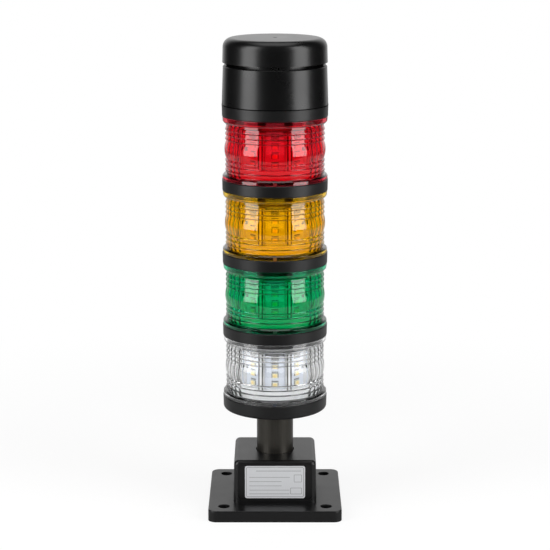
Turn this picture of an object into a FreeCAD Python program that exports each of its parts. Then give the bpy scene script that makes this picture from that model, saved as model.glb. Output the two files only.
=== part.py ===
import FreeCAD, Part
import math
import os
import Sketcher

# Stack light: a square foot with a raised socket block, a short pole, a terminal base,
# four twist-lock light modules (clear, green, amber, red) and a sounder module on top.
# The origin is the middle of the foot's underside, +Z up, the label faces -Y.  Millimetres, degrees.

os.makedirs("parts", exist_ok=True)
doc = FreeCAD.newDocument("stack_light")

SIZES = {
    # Clearances
    "rest_gap": 0.3,
    "slide_gap": 0.05,
    # Foot: square flange and raised block, one casting
    "plate_side": 88.8,
    "plate_thick": 7.6,
    "plate_corner": 5.5,
    "plate_edge": 0.8,
    "hole_pitch": 68.0,
    "hole_bore": 7.2,
    "hole_bevel": 0.4,
    "block_width": 55.8,
    "block_depth": 56.6,
    "block_top": 37.0,
    "block_corner": 4.0,
    "block_draft": 0.8,
    "block_round": 3.0,
    "block_wall": 3.2,
    "block_roof": 4.0,
    "boss_radius": 17.0,
    "boss_low": 14.0,
    "rib_thick": 2.4,
    "rib_low": 20.0,
    "collar_relief": 0.7,
    "relief_depth": 2.5,
    # Label recess and label
    "recess_width": 49.6,
    "recess_low": 9.8,
    "recess_high": 34.6,
    "recess_corner": 2.5,
    "recess_depth": 1.3,
    "label_width": 40.2,
    "label_height": 22.5,
    "label_thick": 0.4,
    "label_corner": 1.4,
    # Gasket let into the underside of the foot
    "gasket_width": 3.0,
    "gasket_depth": 1.6,
    # Pole, its lock nut and top seal
    "pole_radius": 12.3,
    "pole_wall": 1.5,
    "pole_low": 9.0,
    "nut_flat": 34.0,
    "nut_height": 4.0,
    "pole_seat": 5.6,
    "pole_seal": 0.8,
    # Tower: module outline and levels
    "tower_foot": 67.4,
    "foot_height": 9.3,
    "module_pitch": 49.0,
    "ring_height": 7.75,
    "ring_radius": 34.9,
    "ring_narrow": 0.15,
    "ring_edge": 0.5,
    "foot_edge": 2.0,
    "neck_wall": 3.2,
    "neck_ledge": 1.8,
    "deck_thick": 1.6,
    "deck_hole": 9.0,
    # Bayonet between one module and the ring below it
    "ring_wall": 4.5,
    "ledge_reach": 1.9,
    "ledge_thick": 2.2,
    "lug_height": 1.6,
    "lug_play": 0.15,
    "lug_span": 24.0,
    "gap_span": 30.0,
    "stop_span": 2.0,
    "stop_play": 0.5,
    "twist_travel": 30.0,
    "skirt_wall": 1.6,
    # Seal ring in the top face of each ring
    "seal_inset": 1.7,
    "seal_width": 1.8,
    "seal_depth": 1.0,
    # Lens
    "flange_inset": 0.3,
    "flange_low": 3.3,
    "flange_high": 4.0,
    "flange_slope": 1.0,
    "flute_land": 1.2,
    "ridge_inset": 1.7,
    "ridge_height": 1.0,
    "ridge_foot": 3.475,
    "ridge_pitch": 3.25,
    "ridge_riser": 0.6,
    "barrel_height": 12.75,
    "barrel_sag": 1.3,
    "seat_inset": 3.1,
    "seat_step": 1.6,
    "seat_height": 3.0,
    "spigot_drop": 2.7,
    "flute_radius": 3.5,
    "flute_depth": 0.7,
    "flute_pitch": 9.0,
    "mark_width": 2.2,
    "mark_proud": 0.25,
    # Module base: skirt, rim and reflector cone
    "rim_gap": 0.2,
    "rim_low": 0.6,
    "cone_inset": 1.0,
    "cone_top": 23.0,
    "cone_height": 8.6,
    "cone_wall": 1.6,
    "cone_hole": 13.0,
    # Light engine
    "tower_apothem": 19.0,
    "tower_wall": 1.6,
    "tower_top": 32.5,
    "tower_lid": 1.6,
    "post_width": 2.4,
    "post_radius": 24.4,
    "board_gap": 0.15,
    "column_wall": 1.6,
    "board_thick": 1.0,
    "led_width": 3.9,
    "led_tall": 3.4,
    "led_thick": 1.1,
    "led_first": 11.0,
    "led_pitch": 6.1,
    # Contacts between modules
    "plate_board": 1.2,
    "pin_board": 1.6,
    "pin_share": 0.75,
    "pin_inset": 1.3,
    "wire_hole": 4.0,
    "shoulder": 1.2,
    "pin_gap": 0.1,
    "block_length": 22.0,
    "block_front_gap": 1.2,
    "block_back_gap": 3.0,
    "block_high": 4.6,
    "channel_depth": 1.5,
    "screw_flat": 2.6,
    "screw_high": 1.15,
    # Sounder module
    "sounder_height": 25.3,
    "sounder_taper": 0.85,
    "sounder_wall": 3.2,
    "sounder_draft": 0.05,
    "sound_hole": 10.0,
    "sound_gap": 2.2,
    "neck_step": 6.05,
    "land_step": 1.05,
    "land_span": 35.0,
    "slot_width": 1.0,
    "slot_pitch": 2.0,
    "slot_tall": 1.6,
    "cap_height": 15.8,
    "cap_inset": 0.5,
    "cap_draft": 0.3,
    "cap_round": 6.0,
    "cap_wall": 2.4,
    "cap_spigot": 4.0,
    "dimple_radius": 1.7,
    "dimple_depth": 0.5,
    "buzzer_radius": 14.0,
    "buzzer_height": 8.5,
    "control_board": 1.6,
}

COLOURS = ("clear", "green", "amber", "red")
FACETS = 8
LEDS_IN_ROW = 3
PINS = 5
LUGS = 3
RIDGES = 3
FLUTES_PER_SIDE = 11
SOUND_LANDS = 4
SLOTS_IN_LAND = 3
TERMINALS = 6

sheet = doc.addObject("Spreadsheet::Sheet", "Sizes")
for row, (alias, value) in enumerate(SIZES.items(), start=1):
    sheet.set(f"A{row}", alias)
    sheet.set(f"B{row}", str(value))
    sheet.setAlias(f"B{row}", alias)
doc.recompute()


class Size:
    """A size: its value now, and the sheet expression that keeps it live."""

    def __init__(self, value, text):
        self.value = float(value)
        self.text = text

    def __add__(self, other):
        other = as_size(other)
        return Size(self.value + other.value, f"({self.text} + {other.text})")

    def __sub__(self, other):
        other = as_size(other)
        return Size(self.value - other.value, f"({self.text} - {other.text})")

    def __mul__(self, other):
        other = as_size(other)
        return Size(self.value * other.value, f"({self.text} * {other.text})")

    def __truediv__(self, other):
        other = as_size(other)
        return Size(self.value / other.value, f"({self.text} / {other.text})")

    def __neg__(self):
        return Size(-self.value, f"(-1 * {self.text})")


def as_size(number):
    if isinstance(number, Size):
        return number
    return Size(number, repr(float(number)))


def turned(angle, function):
    """Sine, cosine or tangent of an angle in degrees, as a size."""
    angle = as_size(angle)
    value = getattr(math, function)(math.radians(angle.value))
    return Size(value, f"{function}({angle.text} * 1deg)")


class Named:
    """Every cell of the sheet by its alias."""

    def __init__(self, names):
        for name in names:
            setattr(self, name, Size(sheet.get(name), f"Sizes.{name}"))


s = Named(SIZES)
ZERO = as_size(0.0)

# Radii that follow the outer radius of the rings
s.ring_inner = s.ring_radius - s.ring_wall
s.ledge_inner = s.ring_inner - s.ledge_reach
s.seal_outer = s.ring_radius - s.seal_inset
s.seal_inner = s.seal_outer - s.seal_width
s.flange_radius = s.ring_radius - s.flange_inset
s.ridge_radius = s.flange_radius - s.ridge_inset
s.valley_radius = s.ridge_radius - s.ridge_height
s.lens_seat = s.flange_radius - s.seat_inset
s.lens_inner = s.lens_seat - s.seat_step
s.cone_foot = s.lens_inner - s.cone_inset
s.sounder_top_radius = s.ring_radius - s.sounder_taper
s.neck_radius = s.sounder_top_radius - s.neck_step
s.land_radius = s.sounder_top_radius - s.land_step
s.cap_radius = s.ring_radius - s.cap_inset

# Angles of the first locked lug and of the row of contacts
LUG_ANGLE = as_size(90.0)
CONTACT_ANGLE = 225.0

subparts = []


# ---------------------------------------------------------------- helpers

def vec(x=0.0, y=0.0, z=0.0):
    return FreeCAD.Vector(x, y, z)


def bind(obj, **properties):
    """Set properties of an object from sizes, and keep them bound to the sheet."""
    for name, size in properties.items():
        size = as_size(size)
        setattr(obj, name, size.value)
        obj.setExpression(name, size.text)


def new_body(name):
    body = doc.addObject("PartDesign::Body", name)
    body.AllowCompound = True
    return body


def origin_of(body, role):
    for feature in body.Origin.OriginFeatures:
        if feature.Role == role:
            return feature
    raise ValueError(role)


def new_sketch(body, role="XY_Plane", offset=ZERO, turn=0.0):
    """A sketch on one of the body's own origin planes, lifted off it and turned about +Z."""
    sketch = body.newObject("Sketcher::SketchObject", body.Name + "_sketch")
    sketch.AttachmentSupport = [(origin_of(body, role), "")]
    sketch.MapMode = "FlatFace"
    spin = FreeCAD.Rotation(vec(0, 0, 1), turn)
    sketch.AttachmentOffset = FreeCAD.Placement(vec(0, 0, offset.value), spin)
    sketch.setExpression("AttachmentOffset.Base.z", offset.text)
    return sketch


def pin_point(sketch, geometry, position, x, y):
    """Fix a point of a sketch at a pair of sizes measured from the sketch's origin."""
    for kind, size, axis in (("DistanceX", x, -2), ("DistanceY", y, -1)):
        if size.value == 0.0:
            sketch.addConstraint(Sketcher.Constraint("PointOnObject", geometry, position, axis))
            continue
        number = sketch.addConstraint(Sketcher.Constraint(kind, -1, 1, geometry, position, size.value))
        sketch.setExpression(f"Constraints[{number}]", size.text)


def arc_between(start, end, radius):
    """An arc from start to end; a positive radius puts its centre on the left of the way."""
    chord = end - start
    half = chord.Length / 2
    rise = math.sqrt(max(radius * radius - half * half, 0.0))
    left = vec(-chord.y, chord.x) * (1 / chord.Length)
    centre = (start + end) * 0.5 + left * math.copysign(rise, radius)
    first, last = (start, end) if radius > 0 else (end, start)
    angle_a = math.atan2(first.y - centre.y, first.x - centre.x)
    angle_b = math.atan2(last.y - centre.y, last.x - centre.x)
    circle = Part.Circle(centre, vec(0, 0, 1), abs(radius))
    return Part.ArcOfCircle(circle, angle_a, angle_b)


def outline(sketch, points, arcs=None):
    """A closed outline through points; arcs gives a side's radius by the number of its first point."""
    arcs = arcs or {}
    count = len(points)
    places = [vec(as_size(x).value, as_size(y).value) for x, y in points]
    ends = []
    for number in range(count):
        start = places[number]
        end = places[(number + 1) % count]
        if number in arcs:
            radius = as_size(arcs[number])
            index = sketch.addGeometry(arc_between(start, end, radius.value))
            ends.append((index, 1, 2) if radius.value > 0 else (index, 2, 1))
        else:
            index = sketch.addGeometry(Part.LineSegment(start, end))
            ends.append((index, 1, 2))
    for number in range(count):
        index, _, last = ends[number]
        following, first, _ = ends[(number + 1) % count]
        sketch.addConstraint(Sketcher.Constraint("Coincident", index, last, following, first))
    for number, (x, y) in enumerate(points):
        index, first, _ = ends[number]
        pin_point(sketch, index, first, as_size(x), as_size(y))
    for number, size in arcs.items():
        radius = as_size(size)
        if radius.value < 0:
            radius = -radius
        index = ends[number][0]
        name = sketch.addConstraint(Sketcher.Constraint("Radius", index, radius.value))
        sketch.setExpression(f"Constraints[{name}]", radius.text)


def circle(sketch, radius, x=ZERO, y=ZERO):
    radius = as_size(radius)
    centre = vec(as_size(x).value, as_size(y).value)
    index = sketch.addGeometry(Part.Circle(centre, vec(0, 0, 1), radius.value))
    pin_point(sketch, index, 3, as_size(x), as_size(y))
    number = sketch.addConstraint(Sketcher.Constraint("Radius", index, radius.value))
    sketch.setExpression(f"Constraints[{number}]", radius.text)


def rectangle(sketch, left, right, low, high):
    outline(sketch, [(left, low), (right, low), (right, high), (left, high)])


def rounded_rectangle(sketch, half_x, low, high, corner):
    """A rectangle centred on the vertical axis, with round corners."""
    points = [
        (-half_x + corner, low), (half_x - corner, low),
        (half_x, low + corner), (half_x, high - corner),
        (half_x - corner, high), (-half_x + corner, high),
        (-half_x, high - corner), (-half_x, low + corner),
    ]
    outline(sketch, points, {side: corner for side in (1, 3, 5, 7)})


def sector(sketch, inner, outer, middle, span):
    """Part of a ring between two radii, centred on an angle."""
    start = middle - span / 2
    end = middle + span / 2
    points = [
        (inner * turned(start, "cos"), inner * turned(start, "sin")),
        (outer * turned(start, "cos"), outer * turned(start, "sin")),
        (outer * turned(end, "cos"), outer * turned(end, "sin")),
        (inner * turned(end, "cos"), inner * turned(end, "sin")),
    ]
    outline(sketch, points, {1: outer, 3: -inner})


def feature(body, kind, sketch, **properties):
    item = body.newObject(f"PartDesign::{kind}", f"{body.Name}_{kind.lower()}")
    item.Profile = sketch
    sketch.Visibility = False
    bind(item, **properties)
    return item


def pad(body, sketch, length):
    return feature(body, "Pad", sketch, Length=length)


def pocket(body, sketch, depth, down=True):
    """Cut a sketch into the body, against its plane's direction or along it."""
    item = feature(body, "Pocket", sketch, Length=depth)
    item.Reversed = not down
    return item


def revolve(body, points, arcs=None):
    """Turn an outline of (radius, height) points about the vertical axis."""
    sketch = new_sketch(body, "XZ_Plane")
    outline(sketch, points, arcs)
    item = body.newObject("PartDesign::Revolution", f"{body.Name}_revolution")
    item.Profile = sketch
    item.ReferenceAxis = (sketch, ["V_Axis"])
    item.Angle = 360.0
    return item


def around(body, item, count, angle=360.0):
    """Repeat a feature about the body's vertical axis."""
    pattern = body.newObject("PartDesign::PolarPattern", f"{body.Name}_pattern")
    pattern.Originals = [item]
    pattern.Axis = (origin_of(body, "Z_Axis"), [""])
    bind(pattern, Angle=angle)
    pattern.Occurrences = count
    body.Tip = pattern
    return pattern


def seat(body, label, level=ZERO, turn=0.0):
    """Put a finished sub-part at its level, turned about the vertical axis, and keep it for export."""
    doc.recompute()
    body.Label = label
    body.Placement = FreeCAD.Placement(vec(0, 0, level.value), FreeCAD.Rotation(vec(0, 0, 1), turn))
    body.setExpression("Placement.Base.z", level.text)
    subparts.append(body)


def edges_at(item, test):
    """Names of the edges of a feature whose middle point passes a test."""
    names = []
    for number, edge in enumerate(item.Shape.Edges, start=1):
        middle = edge.valueAt((edge.FirstParameter + edge.LastParameter) / 2)
        if test(middle, edge):
            names.append(f"Edge{number}")
    return names


def dress(body, kind, item, test, **properties):
    """Fillet or chamfer the edges of a feature that pass a test."""
    doc.recompute()
    names = edges_at(item, test)
    if not names:
        raise ValueError(f"{body.Name}: no edge to dress")
    finish = body.newObject(f"PartDesign::{kind}", f"{body.Name}_{kind.lower()}")
    finish.Base = (item, names)
    bind(finish, **properties)
    return finish


def ring(name, label, inner, outer, low, height, level=ZERO):
    """A flat ring or tube between two radii."""
    body = new_body(name)
    sketch = new_sketch(body, offset=low)
    circle(sketch, outer)
    circle(sketch, inner)
    pad(body, sketch, height)
    seat(body, label, level)


# ---------------------------------------------------------------- foot

def mounting_base():
    """Square flange, drafted socket block with a label recess, hollow below, one casting."""
    body = new_body("mounting_base")
    half = s.plate_side / 2
    sketch = new_sketch(body)
    rounded_rectangle(sketch, half, -half, half, s.plate_corner)
    plate = pad(body, sketch, s.plate_thick)
    dress(body, "Fillet", plate, lambda m, e: abs(m.z - s.plate_thick.value) < 0.01,
          Radius=s.plate_edge)

    sketch = new_sketch(body)
    half_depth = s.block_depth / 2
    rounded_rectangle(sketch, s.block_width / 2, -half_depth, half_depth, s.block_corner)
    block = pad(body, sketch, s.block_top)
    bind(block, TaperAngle=-s.block_draft)
    dress(body, "Fillet", block, lambda m, e: abs(m.z - s.block_top.value) < 0.01,
          Radius=s.block_round)

    # Label recess in the front face, with soft corners
    sketch = new_sketch(body, "XZ_Plane", offset=half_depth + s.recess_depth)
    rounded_rectangle(sketch, s.recess_width / 2, s.recess_low, s.recess_high, s.recess_corner)
    pocket(body, sketch, s.recess_depth * 2)

    # Hollow under the block, leaving the walls and the roof
    sketch = new_sketch(body)
    cavity_x = s.block_width / 2 - s.block_wall
    cavity_y = half_depth - s.block_wall
    rounded_rectangle(sketch, cavity_x, -cavity_y, cavity_y, s.block_corner)
    pocket(body, sketch, s.block_top - s.block_roof, down=False)

    # Pole boss and four ribs that tie it to the walls
    sketch = new_sketch(body, offset=s.boss_low)
    circle(sketch, s.boss_radius)
    pad(body, sketch, s.block_top - s.boss_low - s.block_roof / 2)
    sketch = new_sketch(body, offset=s.rib_low)
    reach = cavity_x + s.block_wall / 4
    rectangle(sketch, -reach, reach, -s.rib_thick / 2, s.rib_thick / 2)
    pad(body, sketch, s.block_top - s.rib_low - s.block_roof / 2)
    sketch = new_sketch(body, offset=s.rib_low)
    reach = cavity_y + s.block_wall / 4
    rectangle(sketch, -s.rib_thick / 2, s.rib_thick / 2, -reach, reach)
    pad(body, sketch, s.block_top - s.rib_low - s.block_roof / 2)

    # Pole bore, with a relief where the pole comes out of the roof
    sketch = new_sketch(body)
    circle(sketch, s.pole_radius + s.slide_gap)
    pocket(body, sketch, s.block_top, down=False)
    sketch = new_sketch(body, offset=s.block_top)
    circle(sketch, s.pole_radius + s.collar_relief)
    pocket(body, sketch, s.relief_depth)

    # Bolt holes at the corners of the flange
    sketch = new_sketch(body)
    for side_x in (-1, 1):
        for side_y in (-1, 1):
            circle(sketch, s.hole_bore / 2, s.hole_pitch / 2 * side_x, s.hole_pitch / 2 * side_y)
    holes = pocket(body, sketch, s.plate_thick, down=False)
    radius = s.hole_bore.value / 2
    level = s.plate_thick.value
    dress(body, "Chamfer", holes,
          lambda m, e: abs(m.z - level) < 0.01 and hasattr(e.Curve, "Radius")
          and abs(e.Curve.Radius - radius) < 0.01,
          Size=s.hole_bevel)

    # Groove for the gasket in the underside
    sketch = new_sketch(body)
    gasket_outline(sketch, ZERO)
    pocket(body, sketch, s.gasket_depth, down=False)
    seat(body, "mounting_base")


def gasket_outline(sketch, clearance):
    """Two rounded squares that bound the gasket between the block's cavity and the bolt holes."""
    outer = s.block_width / 2 + s.gasket_width - clearance
    inner = s.block_width / 2 + clearance
    rounded_rectangle(sketch, outer, -outer, outer, s.block_corner + s.gasket_width)
    rounded_rectangle(sketch, inner, -inner, inner, s.block_corner)


def base_gasket():
    """Rubber gasket that lies in the groove under the foot, flush with it."""
    body = new_body("base_gasket")
    sketch = new_sketch(body)
    gasket_outline(sketch, s.slide_gap)
    pad(body, sketch, s.gasket_depth)
    seat(body, "base_gasket")


def nameplate():
    """Bare silver label stuck to the floor of the recess."""
    body = new_body("nameplate")
    floor = s.block_depth / 2 - s.recess_depth
    middle = (s.recess_low + s.recess_high) / 2
    sketch = new_sketch(body, "XZ_Plane", offset=floor)
    rounded_rectangle(sketch, s.label_width / 2, middle - s.label_height / 2,
                      middle + s.label_height / 2, s.label_corner)
    pad(body, sketch, s.label_thick)
    seat(body, "nameplate")


def pole():
    """Painted aluminium tube between the foot and the terminal base, open for the wires."""
    body = new_body("pole")
    sketch = new_sketch(body, offset=s.pole_low)
    circle(sketch, s.pole_radius)
    circle(sketch, s.pole_radius - s.pole_wall)
    pad(body, sketch, s.tower_foot + s.pole_seat - s.pole_low)
    seat(body, "pole")


def polygon(sketch, apothem, sides, first=0.0, x=ZERO, y=ZERO):
    """A regular polygon by the distance of its flats from its centre."""
    corner = apothem / turned(180.0 / sides, "cos")
    points = []
    for number in range(sides):
        angle = first + 360.0 * number / sides
        points.append((x + corner * turned(angle, "cos"), y + corner * turned(angle, "sin")))
    outline(sketch, points)


def pole_lock_nut():
    """Thin hexagon nut that pulls the pole down into the boss from inside the foot."""
    body = new_body("pole_lock_nut")
    sketch = new_sketch(body, offset=s.boss_low - s.nut_height)
    polygon(sketch, s.nut_flat / 2, 6)
    circle(sketch, s.pole_radius + s.slide_gap)
    pad(body, sketch, s.nut_height)
    seat(body, "pole_lock_nut")


# ---------------------------------------------------------------- rings with bayonet ledges

def skirt_depth():
    return s.ledge_thick + s.lug_play + s.lug_height


def ring_rim(top, radius):
    """Outline of a ring's upper rim, from its outer wall over the seal groove to the ledge."""
    points = [
        (radius, top - s.ring_edge), (radius - s.ring_edge, top),
        (s.seal_outer, top), (s.seal_outer, top - s.seal_depth),
        (s.seal_inner, top - s.seal_depth), (s.seal_inner, top),
        (s.ledge_inner, top), (s.ledge_inner, top - s.ledge_thick),
        (s.ring_inner, top - s.ledge_thick),
    ]
    return points


def bayonet(body, top):
    """Open three gaps in a ring's ledge and add the stops that limit the twist."""
    gap_angle = LUG_ANGLE + s.twist_travel
    sketch = new_sketch(body, offset=top)
    sector(sketch, s.ledge_inner - s.ledge_thick, s.ring_inner, gap_angle, s.gap_span)
    gap = pocket(body, sketch, s.ledge_thick)
    around(body, gap, LUGS)
    sketch = new_sketch(body, offset=top - skirt_depth())
    reach = s.lug_span / 2 + s.stop_span / 2 + s.stop_play
    wall = s.ring_inner + s.ring_edge
    sector(sketch, s.ledge_inner, wall, LUG_ANGLE - reach, s.stop_span)
    sector(sketch, s.ledge_inner, wall, gap_angle + reach, s.stop_span)
    stops = pad(body, sketch, skirt_depth() - s.ledge_thick + s.slide_gap)
    around(body, stops, LUGS)


def terminal_base():
    """Lowest black ring: a cup with a neck that takes the pole and ledges for the first module."""
    body = new_body("terminal_base")
    top = s.foot_height
    floor = top - s.ring_height + s.deck_thick
    bore = s.pole_radius + s.slide_gap
    neck = bore + s.neck_wall
    neck_top = s.pole_seat + s.pole_seal + s.neck_ledge
    hole = s.pole_radius - s.pole_wall
    low_radius = s.ring_radius - s.ring_narrow
    points = [(bore, ZERO), (low_radius - s.foot_edge, ZERO), (low_radius, s.foot_edge)]
    points += ring_rim(top, s.ring_radius)
    points += [
        (s.ring_inner, floor), (neck, floor), (neck, neck_top), (hole, neck_top),
        (hole, neck_top - s.neck_ledge), (bore, neck_top - s.neck_ledge),
    ]
    revolve(body, points, {1: s.foot_edge})
    bayonet(body, top)
    seat(body, "terminal_base", s.tower_foot)


def pole_seal():
    ring("pole_seal", "pole_seal", s.pole_radius - s.pole_wall, s.pole_radius,
         s.pole_seat, s.pole_seal, s.tower_foot)


def terminal_board():
    """Round board on the floor of the terminal base, with the first set of contact tracks."""
    bore = s.pole_radius + s.slide_gap + s.neck_wall + s.rest_gap
    low = s.foot_height - s.ring_height + s.deck_thick
    ring("terminal_board", "terminal_board", bore, s.ring_inner - s.rest_gap,
         low, s.plate_board, s.tower_foot)


def terminal_place():
    """Front and back of the terminal block, between the pole's neck and the skirt of the first module."""
    front = s.pole_radius + s.slide_gap + s.neck_wall + s.block_front_gap
    back = s.ledge_inner - s.rest_gap - s.skirt_wall - s.block_back_gap
    return front, back


def terminal_block():
    """Row of screw terminals at the back of the terminal board, with a channel for the screw heads."""
    body = new_body("terminal_block")
    low = s.foot_height - s.ring_height + s.deck_thick + s.plate_board
    front, back = terminal_place()
    sketch = new_sketch(body, offset=low)
    rectangle(sketch, -s.block_length / 2, s.block_length / 2, front, back)
    pad(body, sketch, s.block_high)
    sketch = new_sketch(body, offset=low + s.block_high)
    channel = s.screw_flat / 2 + s.rest_gap
    middle = (front + back) / 2
    rectangle(sketch, -s.block_length / 2, s.block_length / 2, middle - channel, middle + channel)
    pocket(body, sketch, s.channel_depth)
    seat(body, "terminal_block", s.tower_foot)


def terminal_x(number):
    return s.block_length / TERMINALS * (number - (TERMINALS - 1) / 2)


def terminal_screws():
    """Six hexagon screw heads in the channel of the terminal block."""
    body = new_body("terminal_screws")
    low = s.foot_height - s.ring_height + s.deck_thick + s.plate_board + s.block_high - s.channel_depth
    front, back = terminal_place()
    sketch = new_sketch(body, offset=low)
    for number in range(TERMINALS):
        polygon(sketch, s.screw_flat / 2, 6, 0.0, terminal_x(number), (front + back) / 2)
    pad(body, sketch, s.screw_high)
    seat(body, "terminal_screws", s.tower_foot)


def seal_ring(name, top, level):
    """Rubber ring in the groove of a ring's top face, flush with it."""
    ring(name, name, s.seal_inner + s.slide_gap, s.seal_outer - s.slide_gap,
         top - s.seal_depth, s.seal_depth, level)


# ---------------------------------------------------------------- module base, used by lights and sounder

def module_base(name, level):
    """White base of a module: skirt with three lugs, rim under the casing, hollow reflector cone."""
    body = new_body(name)
    skirt = s.ledge_inner - s.rest_gap
    inside = skirt - s.skirt_wall
    low = -skirt_depth()
    board_top = s.rim_low + s.pin_board
    shoulder = inside - s.shoulder
    rim = s.lens_seat - s.rim_gap
    points = [
        (skirt, low), (skirt, s.rim_low), (rim, s.rim_low), (rim, s.seat_height),
        (s.cone_foot, s.seat_height), (s.cone_top, s.cone_height), (s.cone_hole, s.cone_height),
        (s.cone_hole, s.cone_height - s.cone_wall),
        (s.cone_top - s.cone_wall / 2, s.cone_height - s.cone_wall),
        (shoulder, s.seat_height + s.cone_wall), (shoulder, board_top), (inside, board_top),
        (inside, low),
    ]
    revolve(body, points)
    sketch = new_sketch(body, offset=low)
    sector(sketch, skirt - s.skirt_wall / 2, s.ring_inner - s.rest_gap, LUG_ANGLE, s.lug_span)
    lug = pad(body, sketch, s.lug_height)
    around(body, lug, LUGS)
    seat(body, name, level)


def pin_board(name, level):
    """Round board held in the module base, from which the contact pins hang."""
    outer = s.ledge_inner - s.rest_gap - s.skirt_wall - s.slide_gap
    ring(name, name, s.cone_hole, outer, s.rim_low, s.pin_board, level)


def contact_pins(name, level):
    """Row of sprung blade contacts, one for each track of the board below."""
    body = new_body(name)
    track = s.deck_thick + s.plate_board - s.ring_height
    low = track + s.pin_gap
    sketch = new_sketch(body, offset=low, turn=CONTACT_ANGLE)
    first = s.pole_radius + s.slide_gap + s.neck_wall + s.pin_inset
    last = s.ledge_inner - s.rest_gap - s.skirt_wall - s.pin_inset
    step = (last - first) / PINS
    half = step * s.pin_share / 2
    for number in range(PINS):
        middle = first + step * (number + 0.5)
        rectangle(sketch, middle - half, middle + half, -half, half)
    pad(body, sketch, s.rim_low - low)
    seat(body, name, level)


# ---------------------------------------------------------------- light module

def collar_low():
    """Height of a module's black collar above the module's own foot."""
    return s.module_pitch - s.ring_height


def lens_barrel_radius():
    half = s.barrel_height / 2
    return (half * half + s.barrel_sag * s.barrel_sag) / (s.barrel_sag * 2)


def ridge_steps(foot, rising):
    """One set of stepped ridges: each slopes over most of its pitch and comes back over a short riser."""
    points = []
    for number in range(RIDGES):
        low = foot + s.ridge_pitch * number
        crest = low + s.ridge_pitch - s.ridge_riser if rising else low + s.ridge_riser
        points += [(s.valley_radius, low), (s.ridge_radius, crest)]
    points.append((s.valley_radius, foot + s.ridge_pitch * RIDGES))
    return points


def lens(name, level):
    """Moulded lens: two flanges, stepped ridges that lean away from a crowned barrel, and flutes inside."""
    body = new_body(name)
    top = collar_low()
    shelf = s.flange_radius - s.flange_slope
    points = [(s.lens_seat, ZERO), (s.flange_radius, ZERO), (s.flange_radius, s.flange_low - s.flange_slope),
              (shelf, s.flange_low), (s.valley_radius, s.flange_low)]
    points += ridge_steps(s.ridge_foot, True)
    arcs = {len(points) - 1: lens_barrel_radius()}
    points += ridge_steps(s.ridge_foot + s.ridge_pitch * RIDGES + s.barrel_height, False)
    points += [
        (s.valley_radius, top - s.flange_high), (shelf, top - s.flange_high),
        (s.flange_radius, top - s.flange_high + s.flange_slope), (s.flange_radius, top),
        (s.lens_seat, top), (s.lens_seat, top - s.seat_height),
        (s.lens_inner, top - s.seat_height), (s.lens_inner, s.seat_height), (s.lens_seat, s.seat_height),
    ]
    revolve(body, points, arcs)

    # Upright flutes inside both flanks; the front and back stay clear as windows
    centre = s.lens_inner + s.flute_depth - s.flute_radius
    sweep = s.flute_pitch * (FLUTES_PER_SIDE - 1)
    for side in (0.0, 180.0):
        sketch = new_sketch(body, offset=top - s.seat_height - s.flute_land)
        start = as_size(side) - sweep / 2
        circle(sketch, s.flute_radius, centre * turned(start, "cos"), centre * turned(start, "sin"))
        flute = pocket(body, sketch, top - s.seat_height * 2 - s.flute_land * 2)
        around(body, flute, FLUTES_PER_SIDE, sweep)

    # Raised mark at the front of the lower flange, in line with the marks of the other modules
    sketch = new_sketch(body)
    front = -(s.flange_radius + s.mark_proud)
    rectangle(sketch, -s.mark_width / 2, s.mark_width / 2, front, -s.flange_radius + s.flange_slope)
    pad(body, sketch, s.flange_low - s.flange_slope)
    seat(body, name, level)


def collar(name, level):
    """Black ring that closes a light module above and carries the next one."""
    body = new_body(name)
    low = collar_low()
    top = s.module_pitch
    spigot = s.lens_seat - s.rim_gap
    radius = s.ring_radius - s.ring_narrow
    points = [
        (s.deck_hole, low), (s.lens_inner, low), (s.lens_inner, low - s.spigot_drop),
        (spigot, low - s.spigot_drop), (spigot, low),
        (radius - s.ring_edge, low), (radius, low + s.ring_edge),
    ]
    points += ring_rim(top, s.ring_radius)
    points += [(s.ring_inner, low + s.deck_thick), (s.deck_hole, low + s.deck_thick)]
    revolve(body, points)
    bayonet(body, top)
    seat(body, name, level)


def contact_plate(name, level):
    """Board on the deck of a collar with the round tracks that the next module's pins touch."""
    ring(name, name, s.wire_hole, s.ring_inner - s.rest_gap,
         collar_low() + s.deck_thick, s.plate_board, level)


def led_tower(name, level):
    """White eight-sided tower with a fin at each corner, a lid and a wire column up to the collar."""
    body = new_body(name)
    foot = s.cone_height
    half_step = 180.0 / FACETS
    first = -90.0 + half_step
    sketch = new_sketch(body, offset=foot)
    polygon(sketch, s.tower_apothem, FACETS, first)
    polygon(sketch, s.tower_apothem - s.tower_wall, FACETS, first)
    pad(body, sketch, s.tower_top - foot)
    sketch = new_sketch(body, offset=s.tower_top - s.tower_lid)
    polygon(sketch, s.tower_apothem, FACETS, first)
    circle(sketch, s.deck_hole - s.rest_gap - s.column_wall)
    pad(body, sketch, s.tower_lid)
    sketch = new_sketch(body, offset=foot, turn=half_step)
    rectangle(sketch, s.tower_apothem, s.post_radius, -s.post_width / 2, s.post_width / 2)
    fin = pad(body, sketch, s.tower_top - foot)
    around(body, fin, FACETS)
    column = s.deck_hole - s.rest_gap
    sketch = new_sketch(body, offset=s.tower_top - s.tower_lid)
    circle(sketch, column)
    circle(sketch, column - s.column_wall)
    pad(body, sketch, collar_low() + s.deck_thick - s.tower_top + s.tower_lid)
    seat(body, name, level)


def led_boards(name, level):
    """Eight narrow boards, one on each flat of the tower between its fins."""
    body = new_body(name)
    half_step = 180.0 / FACETS
    half = s.tower_apothem * turned(half_step, "tan") - s.post_width / turned(half_step, "cos") / 2
    sketch = new_sketch(body, "XZ_Plane", offset=s.tower_apothem)
    rectangle(sketch, -half + s.board_gap, half - s.board_gap, s.cone_height, s.tower_top)
    board = pad(body, sketch, s.board_thick)
    around(body, board, FACETS)
    seat(body, name, level)


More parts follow.
